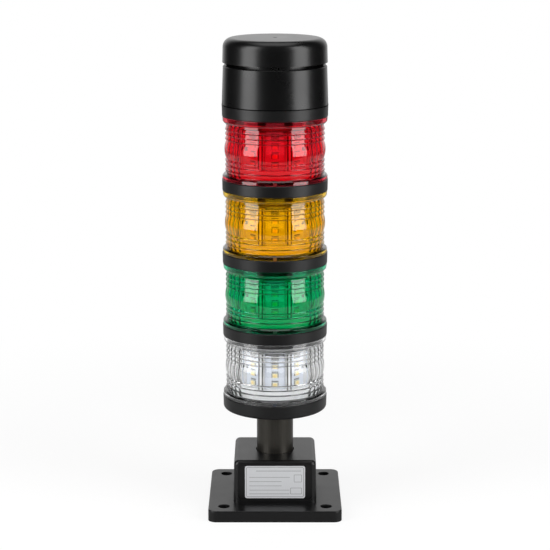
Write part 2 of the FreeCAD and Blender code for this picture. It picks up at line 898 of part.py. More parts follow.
def leds(name, level):
    """Three surface-mounted LEDs on each board."""
    body = new_body(name)
    sketch = new_sketch(body, "XZ_Plane", offset=s.tower_apothem + s.board_thick)
    for number in range(LEDS_IN_ROW):
        middle = s.led_first + s.led_pitch * number
        rectangle(sketch, -s.led_width / 2, s.led_width / 2, middle - s.led_tall / 2, middle + s.led_tall / 2)
    column = pad(body, sketch, s.led_thick)
    around(body, column, FACETS)
    seat(body, name, level)


def light_module(colour, level):
    """One twist-lock light, from its base up to its collar."""
    module_base(f"{colour}_base", level)
    pin_board(f"{colour}_pin_board", level)
    contact_pins(f"{colour}_pins", level)
    led_tower(f"{colour}_led_tower", level)
    led_boards(f"{colour}_led_boards", level)
    leds(f"{colour}_leds", level)
    lens(f"{colour}_lens", level)
    collar(f"{colour}_collar", level)
    contact_plate(f"{colour}_contact_plate", level)
    seal_ring(f"{colour}_seal", s.module_pitch, level)


# ---------------------------------------------------------------- sounder module

def sounder_housing(level):
    """Black drafted housing with a deck, a deep sound gap with slotted lands, and a spigot for the cap."""
    body = new_body("sounder_housing")
    top = s.sounder_height
    neck_top = top + s.sound_gap
    inside = s.sounder_top_radius - s.sounder_wall
    spigot = s.cap_radius - s.cap_wall - s.rest_gap
    neck_inside = s.neck_radius - s.deck_thick
    points = [
        (s.lens_seat, ZERO), (s.ring_radius - s.sounder_draft, ZERO),
        (s.sounder_top_radius, top - s.ring_edge), (s.sounder_top_radius - s.ring_edge, top),
        (s.neck_radius, top), (s.neck_radius, neck_top), (spigot, neck_top),
        (spigot, neck_top + s.cap_spigot), (spigot - s.deck_thick, neck_top + s.cap_spigot),
        (spigot - s.deck_thick, neck_top + s.deck_thick), (neck_inside, neck_top + s.deck_thick),
        (neck_inside, top), (s.sound_hole, top), (s.sound_hole, top - s.deck_thick),
        (inside, top - s.deck_thick), (inside, s.seat_height), (s.lens_seat, s.seat_height),
    ]
    revolve(body, points)
    sketch = new_sketch(body, offset=top)
    sector(sketch, s.neck_radius - s.deck_thick / 2, s.land_radius, as_size(-90.0), s.land_span)
    land = pad(body, sketch, s.sound_gap)
    around(body, land, SOUND_LANDS)
    for group in range(SOUND_LANDS):
        turn = 360.0 * group / SOUND_LANDS
        sketch = new_sketch(body, offset=top + (s.sound_gap - s.slot_tall) / 2, turn=turn)
        for number in range(SLOTS_IN_LAND):
            middle = s.slot_pitch * (number - (SLOTS_IN_LAND - 1) / 2)
            rectangle(sketch, middle - s.slot_width / 2, middle + s.slot_width / 2,
                      -s.cap_radius, -s.sound_hole * 2)
        pocket(body, sketch, s.slot_tall, down=False)
    seat(body, "sounder_housing", level)


def sounder_cap(level):
    """Black cap with a large round edge and a shallow dimple in the middle of its top."""
    body = new_body("sounder_cap")
    low = s.sounder_height + s.sound_gap
    top = low + s.cap_height
    outer = s.cap_radius
    shoulder = outer - s.cap_draft
    flat = shoulder - s.cap_round
    inner = outer - s.cap_wall
    inner_round = s.cap_round - s.cap_wall
    points = [
        (inner, low), (outer, low), (shoulder, top - s.cap_round), (flat, top),
        (s.dimple_radius, top), (ZERO, top - s.dimple_depth), (ZERO, top - s.cap_wall),
        (inner - inner_round, top - s.cap_wall), (inner, top - s.cap_round),
    ]
    revolve(body, points, {2: s.cap_round, 7: -inner_round})
    seat(body, "sounder_cap", level)


def sounder_board(level):
    ring("sounder_board", "sounder_board", s.wire_hole, s.cone_top, s.cone_height, s.control_board, level)


def buzzer(level):
    """Round piezo buzzer that stands on the sounder's board, with its sound hole upwards."""
    body = new_body("buzzer")
    low = s.cone_height + s.control_board
    points = [
        (ZERO, low), (s.buzzer_radius, low), (s.buzzer_radius, low + s.buzzer_height),
        (s.wire_hole, low + s.buzzer_height), (s.wire_hole, low + s.buzzer_height - s.deck_thick),
        (ZERO, low + s.buzzer_height - s.deck_thick),
    ]
    revolve(body, points)
    seat(body, "buzzer", level)


def sounder_module(level):
    module_base("sounder_base", level)
    pin_board("sounder_pin_board", level)
    contact_pins("sounder_pins", level)
    sounder_board(level)
    buzzer(level)
    sounder_housing(level)
    sounder_cap(level)


# ---------------------------------------------------------------- assembly

mounting_base()
base_gasket()
nameplate()
pole()
pole_lock_nut()
pole_seal()
terminal_base()
terminal_board()
terminal_block()
terminal_screws()
seal_ring("terminal_seal", s.foot_height, s.tower_foot)

module_level = s.tower_foot + s.foot_height
for colour in COLOURS:
    light_module(colour, module_level)
    module_level = module_level + s.module_pitch
sounder_module(module_level)

doc.recompute()
for item in doc.Objects:
    if "Invalid" in item.State or "Error" in item.State:
        raise ValueError(f"{item.Label}: {item.State}")
for item in subparts:
    if item.Shape.isNull() or not item.Shape.isValid() or not item.Shape.Solids:
        raise ValueError(f"{item.Label}: no valid shape")
for item in subparts:
    item.Shape.exportStep(f"parts/{item.Label}.step")
    print(item.Label, len(item.Shape.Solids), round(item.Shape.Volume, 1))
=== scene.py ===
import bpy
import math
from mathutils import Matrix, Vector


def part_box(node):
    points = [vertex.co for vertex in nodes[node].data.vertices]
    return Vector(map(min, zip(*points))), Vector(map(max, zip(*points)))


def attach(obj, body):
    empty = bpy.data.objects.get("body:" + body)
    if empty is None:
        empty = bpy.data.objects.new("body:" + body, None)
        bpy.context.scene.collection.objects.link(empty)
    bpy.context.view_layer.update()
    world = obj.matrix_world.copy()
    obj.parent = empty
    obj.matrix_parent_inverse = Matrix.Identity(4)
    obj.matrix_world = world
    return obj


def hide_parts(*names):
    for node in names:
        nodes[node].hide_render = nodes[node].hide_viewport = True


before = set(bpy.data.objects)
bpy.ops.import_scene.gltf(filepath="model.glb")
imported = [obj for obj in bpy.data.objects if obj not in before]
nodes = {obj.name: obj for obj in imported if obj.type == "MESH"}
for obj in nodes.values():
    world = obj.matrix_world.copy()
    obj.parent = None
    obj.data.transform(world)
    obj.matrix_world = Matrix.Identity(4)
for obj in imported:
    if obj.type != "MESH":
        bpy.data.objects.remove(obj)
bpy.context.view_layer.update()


# ---------------------------------------------------------------- mounting foot
# Square flange and socket block, one black casting with a fine moulded-in grain.
# It stands on four bolts; the block's front carries a recess for the rating label.

def put(tree, kind, inputs=None, **settings):
    """Add a node with its settings, and set or link its inputs by name."""
    item = tree.nodes.new(kind)
    for name, value in settings.items():
        setattr(item, name, value)
    for name, value in (inputs or {}).items():
        socket = item.inputs[name]
        if isinstance(value, bpy.types.NodeSocket):
            tree.links.new(value, socket)
        else:
            socket.default_value = value
    return item


def feed(tree, item, **sockets):
    """Link an item's inputs, whose names are written with underscores."""
    for name, value in sockets.items():
        tree.links.new(value, item.inputs[name.replace("_", " ")])


def calc(tree, operation, first, second=0.0, third=0.0, clamp=False):
    """One step of arithmetic on numbers or sockets."""
    return put(tree, "ShaderNodeMath", {0: first, 1: second, 2: third},
               operation=operation, use_clamp=clamp).outputs[0]


def times(colour, factor):
    """A colour of three numbers, darker or lighter by a factor."""
    return tuple(part * factor for part in colour)


def blend(tree, factor, low, high):
    """A colour between two others, each of them three numbers or a socket."""
    low, high = ((*end, 1.0) if isinstance(end, tuple) else end for end in (low, high))
    return put(tree, "ShaderNodeMix", {"Factor": factor, 6: low, 7: high}, data_type="RGBA").outputs[2]


def on_piece(tree):
    """Where a point of the piece lies, in metres."""
    return put(tree, "ShaderNodeTexCoord").outputs["Object"]


def noise(tree, place, scale, detail=2.0, roughness=0.5):
    return put(tree, "ShaderNodeTexNoise", {
        "Vector": place, "Scale": scale, "Detail": detail, "Roughness": roughness}).outputs[0]


def bumped(tree, height, depth):
    return put(tree, "ShaderNodeBump", {"Height": height, "Distance": depth}).outputs[0]


def new_finish(name, **values):
    """A material with one Principled surface; the keyword values go on its own sockets."""
    material = bpy.data.materials.new(name)
    material.use_nodes = True
    tree = material.node_tree
    tree.nodes.clear()
    surface = put(tree, "ShaderNodeBsdfPrincipled")
    for socket, value in values.items():
        surface.inputs[socket.replace("_", " ")].default_value = value
    put(tree, "ShaderNodeOutputMaterial", {"Surface": surface.outputs["BSDF"]})
    return material, tree, surface


def new_group(name, takes, gives):
    """An empty shader group with named number inputs and named number outputs."""
    tree = bpy.data.node_groups.new(name, "ShaderNodeTree")
    for label, value in takes.items():
        socket = tree.interface.new_socket(name=label, in_out="INPUT", socket_type="NodeSocketFloat")
        socket.default_value = value
    for label in gives:
        tree.interface.new_socket(name=label, in_out="OUTPUT", socket_type="NodeSocketFloat")
    given = put(tree, "NodeGroupInput").outputs
    return tree, given, put(tree, "NodeGroupOutput")


def place_group(tree, group, **values):
    """Place a shader group in a material; its inputs' names are written with underscores."""
    item = put(tree, "ShaderNodeGroup", node_tree=group)
    for name, value in values.items():
        item.inputs[name.replace("_", " ")].default_value = value
    return item.outputs


def moulded_grain_group():
    """Fine spark-eroded grain with a slow waviness under it, and a mottle for the gloss."""
    tree, given, end = new_group("moulded_grain", {"Grain": 0.0006, "Wave": 0.02, "Waviness": 0.4},
                                 ("Height", "Mottle"))
    place = on_piece(tree)
    fine = noise(tree, place, calc(tree, "DIVIDE", 1.0, given["Grain"]), detail=3.0, roughness=0.6)
    slow = noise(tree, place, calc(tree, "DIVIDE", 1.0, given["Wave"]))
    feed(tree, end, Height=calc(tree, "MULTIPLY_ADD", slow, given["Waviness"], fine), Mottle=slow)
    return tree


def edge_rub_group():
    """A mask along the outer edges, broken up by noise, where handling polishes a casting."""
    tree, given, end = new_group("edge_rub", {"Width": 0.0006, "Breakup": 0.004}, ("Mask",))
    round_normal = put(tree, "ShaderNodeBevel", {"Radius": given["Width"]}, samples=4).outputs[0]
    true_normal = put(tree, "ShaderNodeNewGeometry").outputs["Normal"]
    lean = put(tree, "ShaderNodeVectorMath", {0: round_normal, 1: true_normal}, operation="DOT_PRODUCT")
    edge = put(tree, "ShaderNodeMapRange", {
        "Value": lean.outputs["Value"], "From Min": 0.995, "From Max": 0.86}).outputs[0]
    broken = noise(tree, on_piece(tree), calc(tree, "DIVIDE", 1.0, given["Breakup"]), detail=4.0)
    feed(tree, end, Mask=calc(tree, "MULTIPLY", edge, broken, clamp=True))
    return tree


moulded_grain = moulded_grain_group()
edge_rub = edge_rub_group()


def black_plastic(name, shade, gloss, grain, depth, rub):
    """Black moulded plastic, with its roughness, grain size and depth, and how far its edges are rubbed."""
    material, tree, surface = new_finish(name, IOR=1.49)
    skin = place_group(tree, moulded_grain, Grain=grain, Wave=0.018, Waviness=0.5)
    edges = place_group(tree, edge_rub, Width=0.0005, Breakup=0.003)
    worn = calc(tree, "MULTIPLY", edges["Mask"], rub)
    rubbed = blend(tree, worn, shade, tuple(min(part * 3.0 + 0.02, 1.0) for part in shade))
    mottled = blend(tree, calc(tree, "MULTIPLY", skin["Mottle"], 0.35), rubbed, times(shade, 1.5))
    rough = calc(tree, "MULTIPLY_ADD", skin["Mottle"], 0.1, gloss - 0.05)
    feed(tree, surface, Base_Color=mottled,
         Roughness=calc(tree, "MULTIPLY_ADD", worn, -0.12, rough, clamp=True),
         Normal=bumped(tree, skin["Height"], depth))
    return material


def finish_nodes(material, *names):
    """Give solids of the frame their material."""
    for name in names:
        slots = nodes[name].data.materials
        slots.clear()
        slots.append(material)


foot_black = black_plastic(
    "foot_black", (0.0035, 0.0035, 0.0037), gloss=0.35, grain=0.0005, depth=0.000018, rub=0.5)
finish_nodes(foot_black, "mounting_base")


# ---------------------------------------------------------------- foot gasket
# Flat ring of black rubber that lies in a groove under the foot and seals it to the machine.
# Matt, with a slight bloom.

def mottled_finish(name, dark, light, rough, grain, wave, waviness=0.5, spread=0.0, depth=0.0, **values):
    """A finish in a fine mottle of two near shades.

    Its roughness lies between rough and rough plus spread; given a depth, its grain stands out."""
    material, tree, surface = new_finish(name, **values)
    skin = place_group(tree, moulded_grain, Grain=grain, Wave=wave, Waviness=waviness)
    feed(tree, surface, Base_Color=blend(tree, skin["Mottle"], dark, light))
    if spread:
        feed(tree, surface, Roughness=calc(tree, "MULTIPLY_ADD", skin["Mottle"], spread, rough))
    else:
        surface.inputs["Roughness"].default_value = rough
    if depth:
        feed(tree, surface, Normal=bumped(tree, skin["Height"], depth))
    return material


def rubber(name, shade, **values):
    return mottled_finish(name, shade, times(shade, 2.2), rough=0.6, spread=0.2, grain=0.0004, wave=0.006,
                          waviness=1.0, depth=0.00003, IOR=1.5, **values)


seal_rubber = rubber("seal_rubber", (0.004, 0.004, 0.004), Sheen_Weight=0.1)
finish_nodes(seal_rubber, "base_gasket")


# ---------------------------------------------------------------- rating label
# Blank silver polyester label stuck in the recess of the block, with a printed border and empty
# ruled fields.  Satin foil with a fine upright brushing.

LABEL_MARGIN, BORDER_LINE, FIELD_LINE = 0.0009, 0.00022, 0.0002
# Each rule and each empty box: its middle across and up, and its half width and half height
RULES = ((0.0024, 0.0078, 0.0150, 0.00012), (-0.0036, 0.0034, 0.0136, 0.00010),
         (-0.0064, 0.0004, 0.0108, 0.00010), (-0.0064, -0.0026, 0.0108, 0.00010),
         (-0.0038, -0.0056, 0.0134, 0.00010), (-0.0038, -0.0082, 0.0134, 0.00010))
FIELDS = ((0.0153, 0.0026, 0.0026, 0.0026), (0.0141, -0.0062, 0.0038, 0.0022))


def printed_box_group():
    """Mask of a rounded box on the label's face, from its centre, half sizes and corner."""
    tree, given, end = new_group(
        "printed_box", {"Centre X": 0.0, "Centre Z": 0.0, "Half X": 0.01, "Half Z": 0.01, "Corner": 0.001},
        ("Inside",))
    place = put(tree, "ShaderNodeSeparateXYZ", {0: on_piece(tree)}).outputs

    def beyond(axis, centre, half):
        away = calc(tree, "ABSOLUTE", calc(tree, "SUBTRACT", place[axis], given[centre]))
        return calc(tree, "SUBTRACT", away, calc(tree, "SUBTRACT", given[half], given["Corner"]))

    over_x, over_z = beyond("X", "Centre X", "Half X"), beyond("Z", "Centre Z", "Half Z")
    corner_x, corner_z = calc(tree, "MAXIMUM", over_x, 0.0), calc(tree, "MAXIMUM", over_z, 0.0)
    outside = calc(tree, "SQRT", calc(tree, "ADD", calc(tree, "MULTIPLY", corner_x, corner_x),
                                      calc(tree, "MULTIPLY", corner_z, corner_z)))
    inside = calc(tree, "MINIMUM", calc(tree, "MAXIMUM", over_x, over_z), 0.0)
    distance = calc(tree, "SUBTRACT", calc(tree, "ADD", outside, inside), given["Corner"])
    mask = put(tree, "ShaderNodeMapRange", {"Value": distance, "From Min": 0.00006, "From Max": -0.00006})
    feed(tree, end, Inside=mask.outputs[0])
    return tree


printed_box = printed_box_group()


def silver_label():
    low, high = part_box("nameplate")
    middle = (low[2] + high[2]) / 2
    half_x, half_z = (high[0] - low[0]) / 2, (high[2] - low[2]) / 2
    material, tree, surface = new_finish("label_silver", Metallic=0.35, IOR=1.5)
    stretched = put(tree, "ShaderNodeMapping", {"Vector": on_piece(tree), "Scale": (6000.0, 1.0, 250.0)})
    brushing = noise(tree, stretched.outputs[0], 1.0)

    def box(x, z, wide, tall, corner):
        return place_group(tree, printed_box, Centre_X=x, Centre_Z=middle + z, Half_X=wide, Half_Z=tall,
                           Corner=corner)[0]

    def frame_line(x, z, wide, tall, corner, line):
        return calc(tree, "SUBTRACT", box(x, z, wide, tall, corner),
                    box(x, z, wide - line, tall - line, max(corner - line, 0.00005)))

    ink = frame_line(0.0, 0.0, half_x - LABEL_MARGIN, half_z - LABEL_MARGIN, LABEL_MARGIN, BORDER_LINE)
    for x, z, wide, tall in RULES:
        ink = calc(tree, "MAXIMUM", ink, box(x, z, wide, tall, 0.00005))
    for x, z, wide, tall in FIELDS:
        ink = calc(tree, "MAXIMUM", ink, frame_line(x, z, wide, tall, 0.0004, FIELD_LINE))
    foil = blend(tree, brushing, (0.62, 0.63, 0.65), (0.74, 0.75, 0.77))
    feed(tree, surface, Base_Color=blend(tree, calc(tree, "MULTIPLY", ink, 0.9), foil, (0.03, 0.03, 0.034)),
         Roughness=calc(tree, "MULTIPLY_ADD", brushing, 0.15, 0.38), Normal=bumped(tree, brushing, 0.000004))
    return material


finish_nodes(silver_label(), "nameplate")


# ---------------------------------------------------------------- pole and lock nut
# Aluminium tube, dark bronze anodised, drawn along its length so that it keeps faint upright lines.
# It is held in the foot by a thin hexagon nut of zinc-plated steel.

def drawn_tube():
    material, tree, surface = new_finish("pole_finish", Metallic=0.85, IOR=1.5)
    along = put(tree, "ShaderNodeMapping", {"Vector": on_piece(tree), "Scale": (2200.0, 2200.0, 20.0)})
    lines = noise(tree, along.outputs[0], 1.0)
    feed(tree, surface, Base_Color=blend(tree, lines, (0.055, 0.052, 0.045), (0.095, 0.089, 0.078)),
         Roughness=calc(tree, "MULTIPLY_ADD", lines, 0.1, 0.27), Normal=bumped(tree, lines, 0.000003))
    return material


def plated_metal(name, tint):
    return mottled_finish(name, tint, times(tint, 0.75), rough=0.25, spread=0.15, grain=0.0008, wave=0.004,
                          waviness=0.6, Metallic=1.0)


nut_steel = plated_metal("nut_steel", (0.55, 0.55, 0.53))
finish_nodes(drawn_tube(), "pole")
finish_nodes(nut_steel, "pole_lock_nut")
finish_nodes(seal_rubber, "pole_seal")


# ---------------------------------------------------------------- terminal base and rings
# Black glass-filled rings with bayonet ledges: the terminal base on the pole, and the collar that
# closes each light module.  A coarser, more matt skin than the sounder's.

COLOURS = ("clear", "green", "amber", "red")


def of_each(*parts):
    """The names of the same parts in all the light modules."""
    return [f"{colour}_{part}" for colour in COLOURS for part in parts]


ring_black = black_plastic(
    "ring_black", (0.0042, 0.0042, 0.0044), gloss=0.38, grain=0.0004, depth=0.000014, rub=0.35)
finish_nodes(ring_black, "terminal_base", *of_each("collar"))
finish_nodes(seal_rubber, "terminal_seal", *of_each("seal"))


# ---------------------------------------------------------------- contact boards, terminals and pins
# Round glass-fibre boards under green resist, with one gold-plated track for each pin, and the
# screw terminals for the machine's wires.

PIN_COUNT = 5


def track_board():
    low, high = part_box("clear_pins")
    near, far = math.hypot(high[0], high[1]), math.hypot(low[0], low[1])
    pitch = (far - near) / PIN_COUNT
    material, tree, surface = new_finish("board_green", IOR=1.5)
    place = put(tree, "ShaderNodeSeparateXYZ", {0: on_piece(tree)}).outputs
    radius = calc(tree, "SQRT", calc(tree, "ADD", calc(tree, "POWER", place["X"], 2.0),
                                     calc(tree, "POWER", place["Y"], 2.0)))
    turn = calc(tree, "DIVIDE", calc(tree, "SUBTRACT", radius, near), pitch)
    in_band = calc(tree, "MULTIPLY", calc(tree, "GREATER_THAN", turn, 0.0),
                   calc(tree, "LESS_THAN", turn, float(PIN_COUNT)))
    off_middle = calc(tree, "ABSOLUTE", calc(tree, "SUBTRACT", calc(tree, "FRACT", turn), 0.5))
    track = calc(tree, "MULTIPLY", in_band, calc(tree, "LESS_THAN", off_middle, 0.33))
    weave = place_group(tree, moulded_grain, Grain=0.0004, Wave=0.003, Waviness=0.5)["Mottle"]
    resist = blend(tree, weave, (0.010, 0.075, 0.028), (0.020, 0.13, 0.05))
    feed(tree, surface, Base_Color=blend(tree, track, resist, (0.75, 0.52, 0.20)), Metallic=track,
         Roughness=calc(tree, "MULTIPLY_ADD", weave, 0.15, 0.25))
    return material


terminal_grey = black_plastic(
    "terminal_body", (0.16, 0.17, 0.17), gloss=0.5, grain=0.0004, depth=0.00001, rub=0.1)
finish_nodes(track_board(), "terminal_board", "sounder_pin_board", "sounder_board",
             *of_each("pin_board", "contact_plate"))
finish_nodes(plated_metal("contact_brass", (0.78, 0.56, 0.22)), "sounder_pins", *of_each("pins"))
finish_nodes(terminal_grey, "terminal_block")
finish_nodes(nut_steel, "terminal_screws")


# ---------------------------------------------------------------- module bases and light towers
# White plastic: the base with its reflector cone, and the eight-sided tower with a fin at each
# corner that carries the LED boards.  Slightly satin, so that it spreads the light.

inner_white = mottled_finish(
    "inner_white", (0.80, 0.81, 0.82), (0.87, 0.875, 0.88), rough=0.35, spread=0.15, grain=0.0007, wave=0.01,
    depth=0.00001, IOR=1.5)
finish_nodes(inner_white, "sounder_base", *of_each("base", "led_tower"))


# ---------------------------------------------------------------- LED boards
# Narrow aluminium-backed boards with cool white resist, one on each flat of a light tower.
# Each carries three LEDs and the dark resistors between them.

led_board = mottled_finish(
    "led_board", (0.66, 0.70, 0.78), (0.72, 0.76, 0.84), rough=0.3, spread=0.1, grain=0.0005, wave=0.004,
    IOR=1.5)
finish_nodes(led_board, *of_each("led_boards"))


# ---------------------------------------------------------------- LEDs
# Surface-mounted packages: a pale frame around a yellow phosphor window with a shallow dome,
# a dark rim round each as its painted shadow, and a black resistor above each.  The frame's plain
# blocks give way to them.

FACETS, LEDS_IN_ROW = 8, 3
BOARD_WIDTH = 0.01284
LED_WIDTH, LED_HEIGHT, LED_WINDOW = 0.0035, 0.0026, 0.0028
# The height of a plain block; the rows lie a little closer together than the blocks, and the
# first one a little higher
BLOCK_HEIGHT, ROWS_CLOSER, FIRST_RAISED = 0.0034, 0.0002, 0.0004


def phosphor():
    material, tree, surface = new_finish("led_yellow", IOR=1.45, Roughness=0.35, Coat_Weight=0.5)
    grains = noise(tree, on_piece(tree), 1500.0)
    feed(tree, surface, Base_Color=blend(tree, grains, (0.88, 0.66, 0.22), (0.96, 0.80, 0.42)))
    return material


def mottled_plastic(name, dark, light, gloss):
    """Small moulded parts: two near shades in a fine mottle."""
    return mottled_finish(name, dark, light, rough=gloss, grain=0.0003, wave=0.002, IOR=1.5)


led_phosphor = phosphor()
led_body = mottled_plastic("led_frame", (0.84, 0.76, 0.50), (0.92, 0.88, 0.68), 0.4)
# Dark grey for the painted shadow round each LED and beside each fin, and for the resistors
shadow_and_resistor_grey = mottled_plastic("painted_shadow_and_resistor", (0.07, 0.068, 0.06), (0.12, 0.115, 0.10), 0.45)
header_grey = mottled_plastic("header_grey", (0.16, 0.16, 0.17), (0.22, 0.22, 0.23), 0.5)
# Near black for the driver chips, and for the painted shadow strip across the top of each board
chip_and_shadow_black = mottled_plastic("chip_and_shadow_black", (0.03, 0.03, 0.032), (0.045, 0.045, 0.048), 0.4)


def new_tree(name, **takes):
    """An empty geometry tree; its named inputs are listed under their kind of socket."""
    tree = bpy.data.node_groups.new(name, "GeometryNodeTree")
    for kind, labels in takes.items():
        for label in labels:
            tree.interface.new_socket(name=label, in_out="INPUT", socket_type=f"NodeSocket{kind}")
    tree.interface.new_socket(name="Geometry", in_out="OUTPUT", socket_type="NodeSocketGeometry")
    given = put(tree, "NodeGroupInput").outputs
    return tree, given, put(tree, "NodeGroupOutput")


def spot(tree, x=0.0, y=0.0, z=0.0):
    """A vector from numbers or sockets."""
    return put(tree, "ShaderNodeCombineXYZ", {0: x, 1: y, 2: z}).outputs[0]


def moved(tree, part, **change):
    return put(tree, "GeometryNodeTransform", {"Geometry": part, **change}).outputs[0]


def painted(tree, part, material):
    return put(tree, "GeometryNodeSetMaterial", {"Geometry": part, "Material": material}).outputs[0]


def smoothed(tree, part):
    return put(tree, "GeometryNodeSetShadeSmooth", {0: part}).outputs[0]


def realized(tree, part):
    return put(tree, "GeometryNodeRealizeInstances", {0: part}).outputs[0]


def together(tree, *parts):
    joined = tree.nodes.new("GeometryNodeJoinGeometry")
    for part in parts:
        tree.links.new(part, joined.inputs[0])
    return joined.outputs[0]


def line_of(tree, part, count, start, step, **turn):
    """Copies of a part on a line of points, turned where a Rotation is given."""
    points = put(tree, "GeometryNodeMeshLine", {
        "Count": count, "Start Location": start, "Offset": step}, mode="OFFSET").outputs[0]
    return put(tree, "GeometryNodeInstanceOnPoints", {
        "Points": points, "Instance": part, **turn}).outputs[0]


def ring_of(tree, part, count, step, ahead=0.0):
    """Copies of a part about +Z, a step apart; ahead turns them all on by that share of a step."""
    number = calc(tree, "ADD", put(tree, "GeometryNodeInputIndex").outputs[0], ahead)
    turn = spot(tree, z=calc(tree, "MULTIPLY", number, step))
    return line_of(tree, part, count, (0.0, 0.0, 0.0), (0.0, 0.0, 0.0), Rotation=turn)


def led_ring_tree():
    """What the boards carry, with LEDs in rows and columns, turned about +Z in steps of one facet."""
    tree, given, end = new_tree(
        "led_ring", Int=("Facets", "Rows"),
        Float=("Face Radius", "First Height", "Row Pitch", "Width", "Height", "Thickness", "Window",
               "Board Width", "Board Top"),
        Material=("Frame", "Phosphor", "Pad", "Header", "Chip And Shadow"))

    def share(label, factor):
        return calc(tree, "MULTIPLY", given[label], factor)

    def below_top(drop):
        return calc(tree, "SUBTRACT", given["Board Top"], share("Height", drop))

    def block(x, y, z, material, across=0.0, up=0.0):
        """A box that stands on the board's face, y thick, with its middle at across and up."""
        cube = put(tree, "GeometryNodeMeshCube", {"Size": spot(tree, x, y, z)}).outputs[0]
        where = spot(tree, across, calc(tree, "MULTIPLY", y, -0.5), up)
        return painted(tree, moved(tree, cube, Translation=where), given[material])

    # One LED: a dark pad round it as its painted shadow, pale frame, phosphor window with a shallow dome,
    # and the resistor above it
    pad = block(share("Width", 1.26), share("Thickness", 0.12), share("Height", 1.12), "Pad")
    package = block(given["Width"], given["Thickness"], given["Height"], "Frame")
    ball = put(tree, "GeometryNodeMeshUVSphere", {"Segments": 20, "Rings": 10, "Radius": 1.0}).outputs[0]
    dome = moved(tree, ball, Translation=spot(tree, y=share("Thickness", -0.94)),
                 Scale=spot(tree, share("Window", 0.5), share("Thickness", 0.22), share("Window", 0.42)))
    dome = painted(tree, smoothed(tree, dome), given["Phosphor"])
    resistor = block(share("Width", 1.3), share("Thickness", 0.4), share("Height", 0.2), "Pad",
                     up=share("Row Pitch", 0.39))
    face = share("Face Radius", -1.0)
    row = line_of(tree, together(tree, pad, package, dome, resistor), given["Rows"],
                  spot(tree, y=face, z=given["First Height"]), spot(tree, z=given["Row Pitch"]))

    # The wire header at the top of each board, with a dark strip across the board beside it: a painted shadow
    # of the collar above
    strip = block(share("Board Width", 0.97), share("Thickness", 0.3), share("Height", 0.5), "Chip And Shadow",
                  up=below_top(0.4))
    header = block(share("Board Width", 0.4), share("Thickness", 0.9), share("Height", 1.15), "Header",
                   up=below_top(1.22))
    top = moved(tree, together(tree, strip, header), Translation=spot(tree, y=face))
    one_facet = calc(tree, "DIVIDE", math.tau, given["Facets"])
    every_board = ring_of(tree, together(tree, row, top), given["Facets"], one_facet)

    # A driver chip on each of the four diagonal boards, on the side towards the flanks
    level = calc(tree, "ADD", given["First Height"], share("Row Pitch", 1.55))
    chips = []
    for side in (1.0, -1.0):
        chip = block(share("Board Width", 0.125), share("Thickness", 0.75), share("Height", 0.8), "Chip And Shadow",
                     across=share("Board Width", 0.435 * side), up=level)
        chip = moved(tree, chip, Translation=spot(tree, y=face))
        chips.append(moved(tree, chip, Rotation=spot(tree, z=calc(tree, "MULTIPLY", one_facet, side))))
    pairs = ring_of(tree, together(tree, *chips), 2, math.pi)

    tree.links.new(realized(tree, together(tree, every_board, pairs)), end.inputs[0])
    return tree


def grow(name, tree, values, mesh=None, turned=False):
    """Run a node tree with its inputs set by identifier, and keep the result as a plain mesh at the origin.

    On a turned piece the wide faces keep their own normals, and the small round ones between them bend."""
    seed = bpy.data.objects.new(name + "_seed", mesh or bpy.data.meshes.new(name + "_seed"))
    bpy.context.scene.collection.objects.link(seed)
    modifier = seed.modifiers.new("grow", "NODES")
    modifier.node_group = tree
    for socket in tree.interface.items_tree:
        if socket.in_out == "INPUT" and socket.name in values:
            modifier[socket.identifier] = values[socket.name]
    if turned:
        seed.modifiers.new("wide_faces", "WEIGHTED_NORMAL").weight = 80
    seed.update_tag()
    bpy.context.view_layer.update()
    graph = bpy.context.evaluated_depsgraph_get()
    made = bpy.data.meshes.new_from_object(
        seed.evaluated_get(graph), preserve_all_data_layers=True, depsgraph=graph)
    bpy.data.objects.remove(seed)
    piece = bpy.data.objects.new(name, made)
    bpy.context.scene.collection.objects.link(piece)
    return piece


led_ring = led_ring_tree()
for colour in COLOURS:
    low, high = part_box(f"{colour}_leds")
    board_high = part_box(f"{colour}_led_boards")[1]
    piece = grow(f"{colour}_led_packages", led_ring, {
        "Facets": FACETS, "Rows": LEDS_IN_ROW, "Face Radius": board_high[1],
        "First Height": low[2] + FIRST_RAISED + BLOCK_HEIGHT / 2,
        "Row Pitch": (high[2] - low[2] - BLOCK_HEIGHT) / (LEDS_IN_ROW - 1) - ROWS_CLOSER,
        "Width": LED_WIDTH, "Height": LED_HEIGHT, "Thickness": (high[1] - board_high[1]) * 0.9,
        "Window": LED_WINDOW, "Board Width": BOARD_WIDTH, "Board Top": board_high[2],
        "Frame": led_body, "Phosphor": led_phosphor, "Pad": shadow_and_resistor_grey, "Header": header_grey,
        "Chip And Shadow": chip_and_shadow_black})
    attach(piece, f"{colour}_module")
    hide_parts(f"{colour}_leds")


# ---------------------------------------------------------------- fin edge shadow beads
# A narrow dark bead on each outer corner of the tower's fins, over their whole height: a painted
# shadow of the gaps beside the fins, which shows through the lens as a pair of dark lines.

FIN_WIDTH, FIN_REACH = 0.0024, 0.0244
BEAD, BEAD_SUNK, END_GAP = 0.00048, 0.0001, 0.0002


